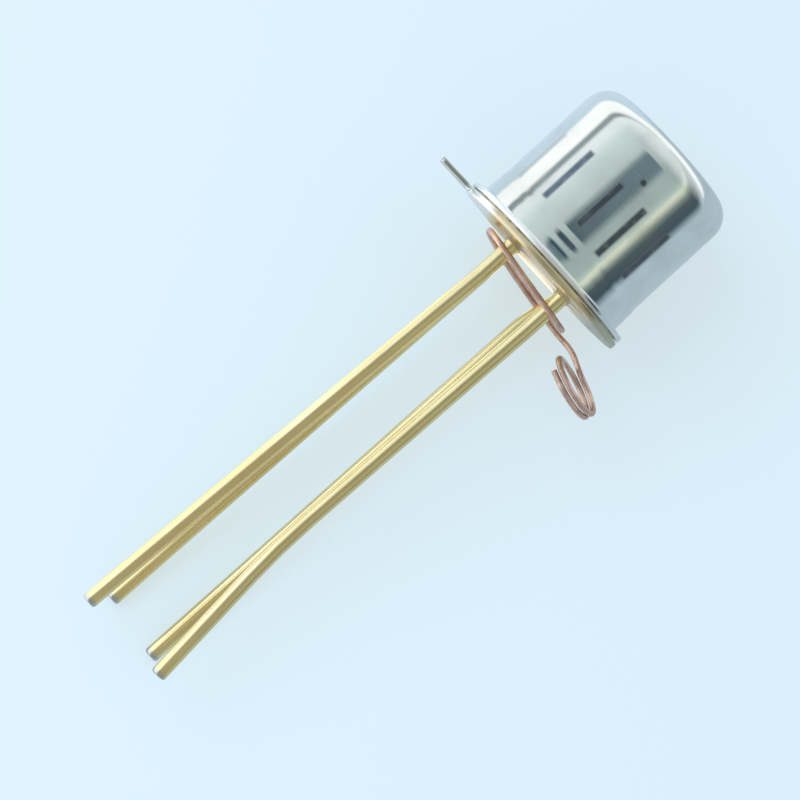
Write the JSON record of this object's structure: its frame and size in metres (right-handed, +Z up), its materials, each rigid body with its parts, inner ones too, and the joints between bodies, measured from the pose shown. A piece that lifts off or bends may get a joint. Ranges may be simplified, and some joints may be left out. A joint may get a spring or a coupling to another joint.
{
  "type": "mosfet transistor",
  "caption": "Mosfet transistor in a round metal can with an index tab, straight gold-plated wire leads and a copper shorting wire wound round them, for switching small currents.",
  "frame": {"origin": "on the floor, under the middle of the part's box, as the part lies on its flange and lower lead tips", "axes": "+X from the lead tips towards the can's closed top, with the can's own axis raised 6.6 degrees above it; +Y towards the index tab; +Z up"},
  "size_m": [0.0186, 0.0074, 0.0054],
  "materials": {
    "can_nickel": "bright drawn nickel",
    "header_gold": "gold plating, satin",
    "lead_gold": "gold plating, bright",
    "weld_metal": "melted, dull",
    "bead_glass": "gloss",
    "silicon": "polished",
    "chip_solder": "satin",
    "pad_aluminium": "polished",
    "bond_gold": "polished",
    "wire_copper": "bare copper, dulled"
  },
  "bodies": {
    "root": {"bead_drain": "bead_glass", "bead_gate": "bead_glass", "bead_source": "bead_glass", "bond_drain": "bond_gold", "bond_gate": "bond_gold", "bond_source": "bond_gold", "cap": "can_nickel", "case_weld": "weld_metal", "die": "silicon", "die_attach": "chip_solder", "header": "header_gold", "lead_case": "lead_gold", "lead_drain": "lead_gold", "lead_gate": "lead_gold", "lead_source": "lead_gold", "pad_drain": "pad_aluminium", "pad_gate": "pad_aluminium", "pad_source": "pad_aluminium", "shorting_wire": "wire_copper", "weld_ring": "weld_metal"}
  },
  "joints": []
}
